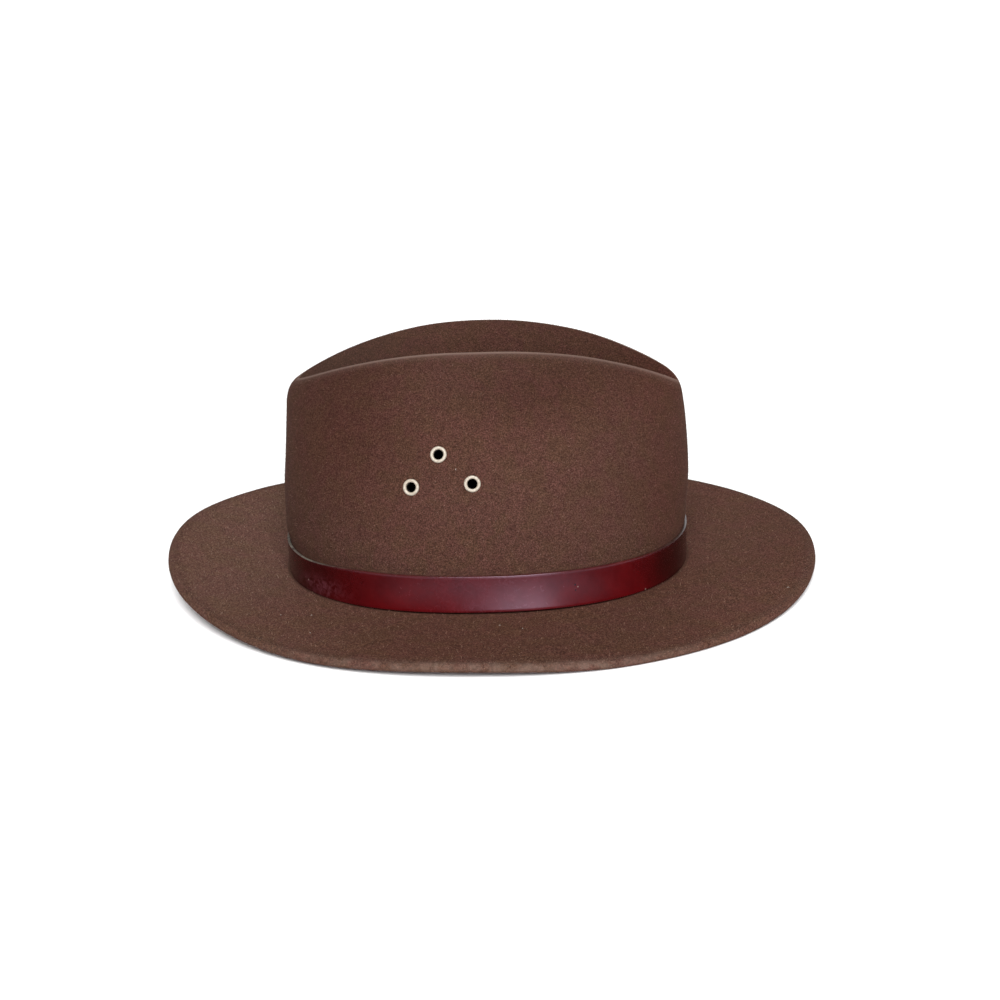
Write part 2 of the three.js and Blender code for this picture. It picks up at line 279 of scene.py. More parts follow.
def dent_ring(angles, share):
    draw = 1 - DENT_SHORTENING * (1 - share)
    along = signed_power(cosine(angles), CREST_COSINE_POWER)
    x = np.where(along > 0, CREST_FRONT, CREST_REAR) * along * draw
    y = share * CREST_HALF_WIDTH * signed_power(sine(angles), crest_sine_power(along))
    across = np.minimum(np.abs(y) / np.maximum(crest_half_width(x), 1e-6), 1.0)
    wall = np.sin(math.pi / 2 * across ** DENT_WALL_POWER) ** 2
    bottom = mix(CREST_TOP - DENT_DEPTH, crest_height(CREST_FRONT), (x / CREST_FRONT) ** 2)
    return np.stack([x, y, mix(bottom, crest_height(x), wall)], axis=-1)


def smooth_rings(rings, spacing):
    """Rings drawn through the given ones, about one spacing apart, and the place of each on them."""
    control = np.stack(rings)
    gaps = np.maximum(np.linalg.norm(np.diff(control, axis=0), axis=-1, keepdims=True), 1e-6)
    slopes = np.diff(control, axis=0) / gaps
    tangents = np.empty_like(control)
    tangents[0], tangents[-1] = slopes[0], slopes[-1]
    weight = gaps[:-1] / (gaps[:-1] + gaps[1:])
    tangents[1:-1] = mix(slopes[:-1], slopes[1:], weight)
    fine, places = [], []
    for index in range(len(control) - 1):
        low, high, gap = control[index], control[index + 1], gaps[index]
        start, end = tangents[index] * gap, tangents[index + 1] * gap
        steps = max(1, round(float(gap.mean()) / spacing))
        for step in range(steps):
            t = step / steps
            fine.append(
                (2 * t ** 3 - 3 * t ** 2 + 1) * low + (t ** 3 - 2 * t ** 2 + t) * start
                + (3 * t ** 2 - 2 * t ** 3) * high + (t ** 3 - t ** 2) * end
            )
            places.append(index + t)
    fine.append(control[-1])
    places.append(len(control) - 1.0)
    return np.stack(fine), np.array(places)


def unevenness(points):
    """Slow swells left by the block and the hand, in millimetres."""
    x, y, z = np.moveaxis(points, -1, 0)
    long_swell = np.sin(x / 17.0 + 0.8 * np.sin(y / 23.0)) * np.sin(z / 15.0 + y / 31.0 + 1.1)
    short_swell = np.sin(x / 8.5 - z / 11.0 + 2.0) * np.sin(y / 9.5 + x / 27.0)
    return UNEVENNESS * (0.7 * long_swell + 0.3 * short_swell)


def ring_normals(rings):
    """Outward directions of a stack of closed rings that runs from the brim edge to the dent."""
    around = np.roll(rings, -1, axis=1) - np.roll(rings, 1, axis=1)
    onward = np.gradient(rings, axis=0)
    normals = np.cross(around, onward)
    return normals / np.maximum(np.linalg.norm(normals, axis=-1, keepdims=True), 1e-9)


def rest_floor(x):
    return -REST_LEVEL - x * math.tan(math.radians(REST_TILT))


def to_row_frame(points):
    """From the level hat in millimetres to the resting hat in metres."""
    tilt = math.radians(REST_TILT)
    along, up = math.cos(tilt), math.sin(tilt)
    x, y, z = np.moveaxis(points, -1, 0)
    turned = np.stack([x * along - z * up, y, x * up + z * along], axis=-1)
    return (turned + np.array(HAT_SHIFT)) * MM


def travelled(rings):
    """The way along the felt from the first ring to each of them."""
    steps = np.linalg.norm(np.diff(rings, axis=0), axis=-1)
    return np.concatenate([np.zeros((1, steps.shape[1])), np.cumsum(steps, axis=0)])


def open_dent_front(fine, angles, crest):
    """Lets the dent run out over the front of the crown, more on the wearer's right, as the photo shows."""
    turn = (angles + 180.0) % 360.0 - 180.0
    reach = np.where(turn < 0, DENT_OPENING_REACH[0], DENT_OPENING_REACH[1])
    slide = DENT_OPENING * np.exp(-(np.abs(turn) / reach) ** 1.5)
    old = fine[:crest + 1]
    path = travelled(old)
    moved = path - slide * np.clip((path - path[-1]) / DENT_OPENING_BLEND + 1, 0.0, 1.0) ** 2
    outside = np.empty_like(old)
    for column in range(len(angles)):
        for axis in range(3):
            outside[:, column, axis] = np.interp(moved[:, column], path[:, column], old[:, column, axis])
    drop = outside[-1] - fine[crest]
    other_side = np.roll(drop[::-1], 1, axis=0) * (1, -1, 1)
    from_middle = np.linalg.norm(fine[crest:, :, :2], axis=-1)
    half_width = np.abs(fine[crest:, :, 1]).max(axis=1)
    own = 0.5 + 0.5 * (half_width / half_width[0])[1:, None, None] ** 2
    share = (from_middle / from_middle[0])[1:, :, None] ** 2
    inside = fine[crest + 1:] + (drop * own + other_side * (1 - own)) * share
    return np.concatenate([outside, inside])


def outer_felt(angles):
    """The outside of the felt: rings, the thickness at each, how much wear and painted highlight it carries,
    and where it lies.
    """
    width = brim_column(BRIM_WIDTHS, angles)
    inner_line = width - WELT_WIDTH
    rings, thickness, rubbed_and_highlit, part = [], [], [], []

    def add(ring, where, wall=FELT_THICKNESS, wear=0.0):
        rings.append(ring)
        thickness.append(wall)
        rubbed_and_highlit.append(wear)
        part.append(where)

    def groove(from_line):
        return WELT_GROOVE * math.exp(-(from_line / 0.7) ** 2)

    # The welt's rim carries wear and a painted highlight, strongest at its very edge.
    for back in np.linspace(0.0, WELT_WIDTH, 9):
        past_line = WELT_WIDTH - back
        swell = WELT_CROWN * math.sin(math.pi * past_line / WELT_WIDTH)
        ring = brim_ring(angles, width - back, swell - groove(past_line))
        add(ring, "brim", WELT_THICKNESS, math.exp(-back / 1.2))
    for behind, wall in ((0.5, 0.8), (1.0, 0.0), (1.6, 0.0), (2.6, 0.0)):
        ring = brim_ring(angles, inner_line - behind, -groove(behind))
        add(ring, "brim", mix(FELT_THICKNESS, WELT_THICKNESS, wall))
    for share in np.linspace(0.93, 0.055, 22):
        add(brim_ring(angles, share * inner_line), "brim")
    for distance in (2.0, FOOT_FILLET):
        add(brim_ring(angles, distance), "foot")
    foot = brim_ring(angles, FOOT_FILLET)[..., 2]
    for turn in ROUND_TURNS:
        reach = FOOT_FILLET * (1 - sine(turn))
        add(outward_ring(angles, reach, foot + FOOT_FILLET * (1 - cosine(turn))), "foot")

    wall = [outward_ring(angles, 0.0, foot_height(angles) + height)
            for height in (FOOT_FILLET - CLEARANCE, 3.0, BAND_HEIGHT / 2)]
    wall += [crown_ring(angles, row) for row in CROWN_ROWS]
    crest = len(wall) - 1
    wall += [dent_ring(angles, share) for share in DENT_SHARES]
    fine, places = smooth_rings(wall, FINE_ROW)
    inside = np.clip(places - crest, 0.0, None)[:, None]
    push = pinch(fine[..., 0], fine[..., 2]) * np.clip(1 - inside / 2, 0.0, 1.0)
    push *= np.clip(places[:, None] - 3.0, 0.0, 1.0)
    fine[..., 1] -= np.sign(fine[..., 1]) * push
    crest_row = int(np.argmin(np.abs(places - crest)))
    crest_ring = len(rings) + crest_row
    for ring, place in zip(open_dent_front(fine, angles, crest_row), places):
        add(ring, "foot" if place < 3.3 else "crown" if place < crest + 0.3 else "dent")
    return np.stack(rings), np.array(thickness), np.array(rubbed_and_highlit), np.array(part), crest_ring


def below_crest(outer, crest_ring):
    """How far each point lies below the crest along the felt, in millimetres; less than 0 in the dent."""
    path = travelled(outer)
    return path[crest_ring] - path


def grip_and_light(x):
    """Where along its length the hat is gripped, and so wears, and where its rim and crest carry the most
    painted highlight and its rim the least painted shade: its middle, a little to the front.
    """
    return ease(x, -115.0, -10.0) * (1 - ease(x, 50.0, 130.0))


def painted_light_and_shade(points, brim, dent):
    """How much painted light and shade the felt carries, about a half where it has none: most painted light
    at the rear of the brim.
    """
    x, y, z = np.moveaxis(points, -1, 0)
    # Painted light lightens the rear and the near front of the brim; painted shade darkens its front, the
    # ends and top of the crown, two patches on the crown, and the dent.
    on_brim = 0.65 + 0.17 * ease(-x, 20.0, 130.0) + 0.06 * ease(-x, 110.0, 150.0)
    on_brim += 0.12 * ease(x, 70.0, 130.0) * ease(-y, 20.0, 80.0)
    on_brim -= 0.08 * ease(x, 20.0, 110.0)
    ends = 0.19 * ease(-x, 15.0, 80.0) + 0.13 * ease(x, 20.0, 90.0)
    above_band = 0.35 + 0.65 * ease(z, 25.0, 55.0)
    on_crown = 0.465 - ends * above_band - 0.06 * ease(z, 88.0, 112.0)
    on_crown -= 0.12 * np.exp(-((x + 48.0) / 36.0) ** 2 - ((z - 88.0) / 22.0) ** 2)
    on_crown -= 0.21 * np.exp(-((x - 28.0) / 33.0) ** 2 - ((z - 101.0) / 14.0) ** 2)
    on_crown = np.where(dent > 0, 0.32 - ends - 0.05 * ease(x, -10.0, 40.0), on_crown)
    return mix(on_crown, on_brim, brim)


def ruddiness(points, brim):
    """Where the felt is tinted redder: the near and front brim, and the upper rear and front end of the
    crown, with patches; the greyer rest, most of all the rear of the brim, stands in for painted sheen.
    """
    x, y, z = np.moveaxis(points, -1, 0)
    on_brim = ease(x, -130.0, -20.0)
    on_crown = 0.5 * ease(-x, -30.0, 60.0) * ease(z, 30.0, 90.0)
    on_crown += 0.6 * ease(x, 65.0, 95.0)
    patches = 0.25 * np.sin(x / 29.0 + 1.3 * np.sin(z / 21.0 + y / 40.0))
    patches *= np.sin(z / 17.0 - y / 33.0 + x / 60.0)
    return np.clip(mix(on_crown, on_brim, brim) + patches, 0.0, 1.0)


def dust_and_sheen(points, brim, dent):
    """Where pale grey lies in the nap: dust in the rear half of the dent, and dust with painted sheen on the
    far rear of the brim.
    """
    x, y, _ = np.moveaxis(points, -1, 0)
    in_dent = dent * ease(-x, -15.0, 75.0)
    on_brim = 0.35 * brim * ease(-x, 50.0, 120.0) * ease(y, -20.0, 60.0)
    return in_dent + on_brim


def felt_mesh():
    """The whole felt as one closed mesh: edge, top, dent and back along the inside."""
    angles = degrees_round(RING_POINTS)
    outer, thickness, rubbed_and_highlit, part, crest_ring = outer_felt(angles)
    normals = ring_normals(outer)
    calm = np.clip((outer[..., 2:3] - BAND_HEIGHT - 4.0) / 12.0, 0.0, 1.0)
    outer = outer + normals * unevenness(outer)[..., None] * calm
    normals = ring_normals(outer)
    last = len(outer) - 1
    kept = [
        i for i in range(len(outer))
        if thickness[i] > FELT_THICKNESS or part[i] == "foot" or i % 2 == 0 or i == last
    ]
    inner = outer[kept] - normals[kept] * thickness[kept][:, None, None]
    inner[..., 2] = np.maximum(inner[..., 2], rest_floor(inner[..., 0]))

    normal_x, normal_y = oval_normals(angles)
    middle = (outer[0] + inner[0]) / 2
    half_height = (outer[0, :, 2] - inner[0, :, 2]) / 2

    def edge_ring(turn):
        reach = WELT_THICKNESS / 2 * cosine(turn)
        return middle + np.stack([normal_x * reach, normal_y * reach, half_height * sine(turn)], -1)

    over_edge = [edge_ring(turn) for turn in (0.0, *ROUND_TURNS)]
    under_edge = [edge_ring(-turn) for turn in ROUND_TURNS[::-1]]
    stack = np.stack(over_edge + list(outer) + list(inner[::-1]) + under_edge)
    first_outer, last_outer = len(over_edge), len(over_edge) + last

    def ring_marks(over, outside, under, inside=None):
        inside = np.zeros(len(kept)) if inside is None else inside
        return np.concatenate([over, outside, inside, [under] * len(under_edge)])

    all_over, on_brim, in_dent = np.ones(len(over_edge)), part == "brim", part == "dent"
    marks = {
        "rubbed_and_highlit": ring_marks(all_over, rubbed_and_highlit, 0.7),
        "rim_nap": ring_marks([0.6, 1.0, 1.0, 1.0], rubbed_and_highlit, 0.0),
        "brim_nap": ring_marks([0.0, 1.0, 1.0, 1.0], on_brim, 0.0),
        "crown_nap": ring_marks(0 * all_over, (part == "crown") | in_dent, 0.0),
        "dent": ring_marks(0 * all_over, in_dent, 0.0),
        "brim": ring_marks(all_over, on_brim, 1.0, on_brim[kept][::-1]),
    }

    faces = grid_faces(len(stack), RING_POINTS, last_outer)
    faces += zip_faces(last_outer * RING_POINTS, True) + zip_faces((last_outer + 1) * RING_POINTS, False)
    marks = {name: np.repeat(values[:, None], RING_POINTS, axis=1) for name, values in marks.items()}
    x, brim, dent = stack[..., 0], marks["brim"], marks["dent"]
    gripped_and_lit = grip_and_light(x)
    rim_edge = np.zeros(len(outer))
    rim_edge[:5] = 1.0, 1.0, 0.8, 0.5, 0.2
    on_rim = ring_marks(all_over, rim_edge, 1.0)[:, None]
    # Painted shade darkens the rim away from its middle, most at the rear; the rim is also less red, as part
    # of its painted highlight.
    marks["painted_shading"] = painted_light_and_shade(stack, brim, dent) - np.where(x < 0, 0.26, 0.08) * on_rim * (1 - gripped_and_lit)
    marks["ruddy"] = ruddiness(stack, brim) * (1 - 0.7 * on_rim)
    marks["dusted_and_sheened"] = dust_and_sheen(stack, brim, dent)
    for name in ("rubbed_and_highlit", "rim_nap"):
        marks[name] = marks[name] * mix(1.0, 0.12 + 0.88 * gripped_and_lit, brim)
    marks["off_crest"] = np.full(x.shape, UNMARKED)
    marks["off_crest"][first_outer:last_outer + 1] = below_crest(outer, crest_ring)
    # Wear and painted highlight along the crest, strongest near the middle of its length
    marks["crest_wear_and_highlight"] = 0.55 + 0.45 * gripped_and_lit * (1 - 0.5 * ease(x, 15.0, 45.0))
    return to_row_frame(stack).reshape(-1, 3), faces, marks


def zip_faces(first, facing_up):
    """Faces between the two sides of the ring from this first point, which close it in the middle."""
    faces = []
    for step in range(RING_POINTS // 2):
        back = (-step % RING_POINTS, RING_POINTS - step - 1)
        corners = [first + corner for corner in dict.fromkeys((step, step + 1, back[1], back[0]))]
        faces.append(corners if facing_up else corners[::-1])
    return faces


def grid_faces(rings, around, open_after=None, mirrored=False):
    """Quads between rings of points, closed both ways, or left open after one ring."""
    index = np.arange(rings * around).reshape(rings, around)
    onward, following = np.roll(index, -1, axis=0), np.roll(index, -1, axis=1)
    corners = [index, following, np.roll(onward, -1, axis=1), onward]
    quads = np.stack(corners[:1] + corners[:0:-1] if mirrored else corners, axis=-1)
    if open_after is not None:
        quads = np.delete(quads, open_after, axis=0)
    return quads.reshape(-1, 4).tolist()


def tube_faces(rings, around, first=0, mirrored=False):
    """Faces of a closed tube whose points run round ring after ring, from this first point."""
    caps = [list(range(around))[::-1], list(range((rings - 1) * around, rings * around))]
    faces = grid_faces(rings, around, rings - 1, mirrored)
    faces += [cap[::-1] for cap in caps] if mirrored else caps
    return [[first + corner for corner in face] for face in faces]


def put_in_scene(name, data):
    item = bpy.data.objects.new(name, data)
    bpy.context.scene.collection.objects.link(item)
    return item


def new_piece(name, points, faces, materials, attributes=None):
    """A smooth-shaded mesh object at the origin, with named point attributes."""
    mesh = bpy.data.meshes.new(name)
    mesh.from_pydata([tuple(p) for p in points], [], faces)
    for label, values in (attributes or {}).items():
        layer = mesh.attributes.new(label, "FLOAT", "POINT")
        layer.data.foreach_set("value", np.asarray(values, dtype=np.float32).reshape(-1))
    for material in materials:
        mesh.materials.append(material)
    mesh.polygons.foreach_set("use_smooth", [True] * len(mesh.polygons))
    mesh.update()
    return put_in_scene(name, mesh)


def settle(piece):
    """Turns a piece with live modifiers into a plain mesh without them."""
    graph = bpy.context.evaluated_depsgraph_get()
    finished = bpy.data.meshes.new_from_object(piece.evaluated_get(graph), depsgraph=graph)
    piece.modifiers.clear()
    piece.data = finished
    return piece


def turn_faces_out(piece):
    """Flips a closed mesh whose faces point inwards."""
    work = bmesh.new()
    work.from_mesh(piece.data)
    if work.calc_volume(signed=True) < 0:
        bmesh.ops.reverse_faces(work, faces=work.faces)
    work.to_mesh(piece.data)
    work.free()


def remove(*objects):
    for item in objects:
        bpy.data.objects.remove(item, do_unlink=True)


# Eyelets


def crown_row_at(rise):
    rows = np.array(CROWN_ROWS)
    return [rise] + [float(np.interp(rise, rows[:, 0], rows[:, column])) for column in (1, 2, 3)]


def crown_place(rise, angle):
    point = crown_ring(np.array([angle]), crown_row_at(rise))[0]
    point[1] -= np.sign(point[1]) * pinch(point[0], point[2])
    return point


def eyelet_frame(number, side):
    """Centre of an eyelet in metres and the turn from +Z to its outward direction."""
    rise, angle = EYELET_PLACES[number]

    def near(rise_step, angle_step):
        return to_row_frame(crown_place(rise + rise_step, side * (angle + angle_step)))

    forward, upward = near(0, -2) - near(0, 2), near(0.03, 0) - near(-0.03, 0)
    outward = Vector(np.cross(forward, upward) * -side).normalized()
    return Vector(near(0, 0)), UP.rotation_difference(outward)


def drill_holes(felt, frames):
    """Cuts the eyelet holes through the felt."""
    radius = (EYELET_BARREL + CLEARANCE) * MM
    turns = np.radians(degrees_round(DRILL_SIDES))
    ring = [Vector((radius * math.cos(a), radius * math.sin(a), 0)) for a in turns]
    drills = []
    for centre, turn in frames:
        points = [centre + turn @ (p + UP * height) for height in (-DRILL_REACH, DRILL_REACH) for p in ring]
        drills.append(new_piece("drill", points, tube_faces(2, DRILL_SIDES), []))
        cut = felt.modifiers.new("hole", "BOOLEAN")
        cut.operation, cut.solver, cut.object = "DIFFERENCE", "EXACT", drills[-1]
    settle(felt)
    remove(*drills)


def lathe(profile, segments):
    """Points and faces of a closed profile of (radius, height) turned about +Z."""
    points = []
    for segment in range(segments):
        turn = 2 * math.pi * segment / segments
        points += [(r * math.cos(turn), r * math.sin(turn), h) for r, h in profile]
    return points, grid_faces(segments, len(profile), mirrored=True)


def eyelet_profile():
    """Rolled flange outside, barrel, and the clenched rim inside, as one closed outline."""
    inside = -FELT_THICKNESS - CLEARANCE

    def across(rim, turn):
        return (EYELET_BORE + rim) / 2 + (rim - EYELET_BORE) / 2 * cosine(turn)

    roll = []
    for turn in np.linspace(-8, 188, 13):
        lift = 0.35 if 0 <= turn <= 180 else 0.25
        roll.append((across(EYELET_FLANGE, turn), lift + 0.78 * max(sine(turn), 0.0)))
    bore = [(EYELET_BORE, h) for h in np.linspace(0.2, inside - 0.5, 7)]
    turns = np.linspace(200, 340, 7)
    rim = [(across(EYELET_CLENCH, turn), inside - 0.2 + 0.75 * sine(turn)) for turn in turns]
    back = [(EYELET_CLENCH, inside), (EYELET_BARREL, inside), (EYELET_BARREL, CLEARANCE / 2)]
    return roll + bore + rim + back, len(roll), len(bore)


def build_eyelet(name, frame_of_eyelet, material):
    profile, roll_count, bore_count = eyelet_profile()
    centre, turn = frame_of_eyelet
    points, faces = lathe([(r * MM, h * MM) for r, h in profile], EYELET_SEGMENTS)
    placed = [centre + turn @ Vector(p) for p in points]
    bore_end = roll_count + bore_count + 6
    # Painted shade: the bore and the clenched rim inside are marked to be dark
    in_bore = [float(roll_count < i < bore_end) for i in range(len(profile))]
    piece = new_piece(name, placed, faces, [material], {"bore": in_bore * EYELET_SEGMENTS})
    piece.data.validate()
    turn_faces_out(piece)
    return piece


# Leather band


def band_section():
    """The band cut across: (depth, height, cut edge) going round, rounded at its corners."""
    section = []
    r, top, thick = BAND_EDGE_ROUND, BAND_HEIGHT, BAND_THICKNESS
    corners = (
        (r, r, 180, 270), (thick - r, r, 270, 360), (thick - r, top - r, 0, 90), (r, top - r, 90, 180),
    )
    for number, (depth, height, first, last) in enumerate(corners):
        if number == 2:
            section += [(thick, share * top, 0.0) for share in np.linspace(0.08, 0.92, 9)]
        for turn in np.linspace(first, last, 4):
            across, up = r * cosine(turn), r * sine(turn)
            section.append((depth + across, height + up, float(abs(up) > abs(across) * 0.8)))
    return section


def band_path(angles):
    """Distance of the band's inner face from the felt: its outer end lies over the other."""
    turned = angles - (90.0 - BAND_LAP_DEGREES / 2)
    overlap = ease(turned, 360.0 - BAND_LAP_DEGREES, 360.0)
    return BAND_SLACK + overlap * (BAND_THICKNESS + BAND_SLACK)


def band_push(normal_x, share):
    """How far the foot of the felt pushes the band out, from 0 to 1: most at the middle of each side."""
    return np.exp(-np.abs((normal_x - 0.08) / (0.28 + 0.28 * (1 - share))) ** 3)


def band_ring(angles, reach, height):
    """A ring of the band at this height, pushed out and lifted by the foot of the felt."""
    share = height / BAND_HEIGHT
    normal_x, _ = oval_normals(angles)
    pushed = band_push(normal_x, share)
    lean = BAND_LEAN * pushed * (1 - share) ** 1.35
    lift = BAND_LIFT * pushed * (1 - share) - BAND_SLIP * share * ease(-normal_x, 0.4, 0.85)
    return outward_ring(angles, reach + lean, foot_height(angles) + height + lift)


def band_marks(ring, share, edge):
    """How pale, how darkened by painted shade towards its ends, how smooth with wear and how scuffed the
    leather is along one ring of the band.
    """
    x, y, _ = np.moveaxis(ring, -1, 0)
    pale_edge = 0.15 + 0.85 * ease(-x, 55.0, 95.0) + 0.12 * ease(x, 85.0, 100.0)
    rear_painted_shade = 0.72 * ease(-x, 40.0, 95.0)
    patch = np.exp(-((x + 81.0) / 12.0) ** 2 - ((share - 0.30) / 0.26) ** 2)
    return {
        "cut_edge": edge * pale_edge,
        "painted_end_shade": np.where(x > 0, ease(x, 72.0, 100.0), rear_painted_shade),
        "polish": np.minimum(np.abs(x) / 80.0, 1.0) ** 2,
        "scuffed": patch * (y < 0),
        "upper": np.full(len(ring), share),
    }


def build_band(material):
    angles = 90.0 - BAND_LAP_DEGREES / 2 + np.linspace(0.0, 360.0 + BAND_LAP_DEGREES, BAND_STEPS + 1)
    section = band_section()
    inner = band_path(angles)
    ripple = 0.1 * np.sin(np.radians(angles * 7)) + 0.06 * np.sin(np.radians(angles * 17 + 40))
    columns, marks = [], []
    for depth, height, edge in section:
        share = height / BAND_HEIGHT
        columns.append(band_ring(angles, inner + depth + np.maximum(ripple * share, 0.0), height))
        marks.append(band_marks(columns[-1], share, edge))
    points = to_row_frame(np.stack(columns, axis=1)).reshape(-1, 3)
    attributes = {name: np.stack([values[name] for values in marks], axis=1) for name in marks[0]}
    faces = tube_faces(BAND_STEPS + 1, len(section))
    piece = new_piece("band_leather", points, faces, [material], attributes)
    turn_faces_out(piece)
    return piece


def stitch_places():
    """Middle of each stitch on the band's free end, and its turn from flat on +Z, along +X."""
    free_end = 90.0 + BAND_LAP_DEGREES / 2
    reach = band_path(np.array([free_end + 360.0]))[0] + BAND_THICKNESS + THREAD_THICKNESS * 0.16
    places, turns = [], []
    for from_end in STITCH_ROWS:
        angle = np.array([free_end - math.degrees(from_end / HEAD_HALF_WIDTH)])
        normal = Vector((*[float(n[0]) for n in oval_normals(angle)], 0.0))
        turn = Matrix((UP, UP.cross(-normal), normal)).transposed().to_euler()
        for number in range(STITCHES_IN_ROW):
            height = BAND_HEIGHT / 2 + (number - (STITCHES_IN_ROW - 1) / 2) * STITCH_PITCH
            places.append(to_row_frame(band_ring(angle, reach, height))[0])
            turns.append(tuple(turn))
    return places, turns


def build_thread():
    """One stitch along +X: a round thread that dips into the leather at both ends."""
    rings, around = 7, 6
    points = []
    for t in np.linspace(-1.0, 1.0, rings):
        radius = THREAD_THICKNESS / 2 * (1 - 0.45 * t ** 4)
        dip = THREAD_THICKNESS * 0.55 * t ** 4
        for a in np.radians(degrees_round(around)):
            place = Vector((t * STITCH_LENGTH / 2, radius * math.cos(a), radius * math.sin(a) - dip))
            points.append(place * MM)
    thread = new_piece("thread", points, tube_faces(rings, around, mirrored=True), [])
    turn_faces_out(thread)
    return thread


def sew_band_end(material):
    places, turns = stitch_places()
    stitches = new_piece("band_end_stitches", places, [], [])
    layer = stitches.data.attributes.new("turn", "FLOAT_VECTOR", "POINT")
    layer.data.foreach_set("vector", np.array(turns, dtype=np.float32).reshape(-1))
    thread = build_thread()
    run_tree(stitches, *stitching_tree(thread), {"Size": 1.0, "Material": material})
    remove(thread)
    return stitches


def build_lint(felt, material):
    """Short pale fibres lying on the felt, each a small bent thread."""
    surface = BVHTree.FromObject(felt, bpy.context.evaluated_depsgraph_get())
    rays = [
        (Vector((x, y, 200)) + Vector(HAT_SHIFT), Vector((0, 0, -1)), size, turn)
        for x, y, size, turn in LINT_ON_BRIM
    ]
    rays += [(Vector((x, -200, z)), Vector((0, 1, 0)), size, turn) for x, z, size, turn in LINT_ON_CROWN]
    rings, around = 5, 5
    points, faces = [], []
    for start, heading, size, turn in rays:
        hit, normal, _, _ = surface.ray_cast(start * MM, heading)
        lie = UP.rotation_difference(normal) @ Quaternion((0, 0, 1), math.radians(turn))
        faces += tube_faces(rings, around, len(points), mirrored=True)
        for t in np.linspace(-1.0, 1.0, rings):
            bow = 1 - t * t
            radius = LINT_RADIUS * (1 - 0.5 * t * t)
            for a in np.radians(degrees_round(around)):
                spot = Vector((
                    t * size / 2, radius * math.cos(a) + 0.25 * size * bow,
                    radius * math.sin(a) + LINT_RADIUS + 0.22 * bow,
                ))
                points.append(hit + lie @ (spot * MM))
    lint = new_piece("lint", points, faces, [material])
    turn_faces_out(lint)
    return lint


# Node trees


def add_node(tree, kind, inputs=None, **settings):
    """A node with its settings; each input is a socket to link from, or a plain value."""
    node = tree.nodes.new(kind)
    for name, value in settings.items():
        setattr(node, name, value)
    for key, value in (inputs or {}).items():
        if isinstance(value, bpy.types.NodeSocket):
            tree.links.new(value, node.inputs[key])
        else:
            socket = node.inputs[key]
            socket.default_value = (*value, 1.0) if socket.type == "RGBA" else value
    return node


def new_material(name):
    material = bpy.data.materials.new(name)
    material.use_nodes = True
    material.node_tree.nodes.clear()
    return material, material.node_tree


def piece_coordinates(tree):
    """Coordinates that stay with the piece."""
    return add_node(tree, "ShaderNodeTexCoord").outputs["Object"]


def add_shader(tree, inputs):
    shader = add_node(tree, "ShaderNodeBsdfPrincipled", inputs)
    add_node(tree, "ShaderNodeOutputMaterial", {"Surface": shader.outputs["BSDF"]})


def attribute(tree, name):
    return add_node(tree, "ShaderNodeAttribute", attribute_name=name).outputs["Fac"]


# These add their node to the tree of the socket that comes in


def noise(place, scale, detail=2.0, roughness=0.5, distortion=0.0):
    return add_node(place.id_data, "ShaderNodeTexNoise", {
        "Vector": place, "Scale": scale, "Detail": detail, "Roughness": roughness, "Distortion": distortion,
    }).outputs["Fac"]


def spread(value, low, high, to_low=0.0, to_high=1.0):
    """Stretches a value from one range to another."""
    return add_node(value.id_data, "ShaderNodeMapRange", {
        "Value": value, "From Min": low, "From Max": high, "To Min": to_low, "To Max": to_high,
    }).outputs["Result"]


def combine(operation, first, second):
    node = add_node(first.id_data, "ShaderNodeMath", {0: first, 1: second}, operation=operation)
    return node.outputs[0]


def blend(share, first, second, mode="MIX"):
    """A mix of two colours; the share or the first one is a socket."""
    tree = (first if isinstance(first, bpy.types.NodeSocket) else share).id_data
    inputs = {0: share, 6: first, 7: second}
    return add_node(tree, "ShaderNodeMix", inputs, data_type="RGBA", blend_type=mode).outputs[2]


def tint(tone, *factors):
    for factor in factors:
        tone = blend(1.0, tone, factor, "MULTIPLY")
    return tone


def add_bump(height, distance, before=None, strength=1.0):
    inputs = {"Height": height, "Distance": distance, "Strength": strength}
    if before is not None:
        inputs["Normal"] = before
    return add_node(height.id_data, "ShaderNodeBump", inputs).outputs["Normal"]


# Colours, as linear light
FELT_DARK = (0.038, 0.0168, 0.0115)
FELT_LIGHT = (0.062, 0.0302, 0.0215)
# Wear and painted highlight on the rim
RIM_WEAR_AND_HIGHLIGHT = (0.140, 0.098, 0.078)
# Wear and painted highlight on the crest
CREST_WEAR_AND_HIGHLIGHT = (0.155, 0.104, 0.086)
FELT_SHEEN = (0.80, 0.40, 0.28)
FIBRE_DARK = (0.055, 0.026, 0.018)
FIBRE_PALE = (0.24, 0.155, 0.119)
FEW_PALE = 2.7  # the higher, the fewer fibres are pale
# Pale dust, with painted sheen on the rear of the brim
DUST_AND_SHEEN = (0.100, 0.085, 0.070)
DUST_AND_SHEEN_COVER = 0.085
# Tints for painted shade and painted light on the felt
PAINTED_SHADE_TINT = (0.5, 0.42, 0.41)
PAINTED_LIGHT_TINT = (1.5, 1.58, 1.59)
PLAIN_DYE = (1.0, 1.0, 1.0)
RUDDY = (1.02, 0.91, 0.87)
MAUVE = (1.03, 0.975, 1.05)
OLIVE = (0.97, 1.025, 0.95)
LEATHER_DARK = (0.040, 0.0007, 0.0014)
LEATHER_LIGHT = (0.061, 0.0012, 0.0020)
LEATHER_SCUFFED = (0.095, 0.026, 0.034)
LEATHER_GLOSS = (0.88, 0.82, 1.0)
CUT_EDGE_DARK = (0.028, 0.017, 0.012)
CUT_EDGE_PALE = (0.115, 0.105, 0.075)
NICK = (0.003, 0.001, 0.001)
SPECK = (0.19, 0.13, 0.11)
THREAD_PALE = (0.19, 0.035, 0.042)
THREAD_DARK = (0.07, 0.010, 0.014)
LINT_PALE = (0.36, 0.31, 0.27)
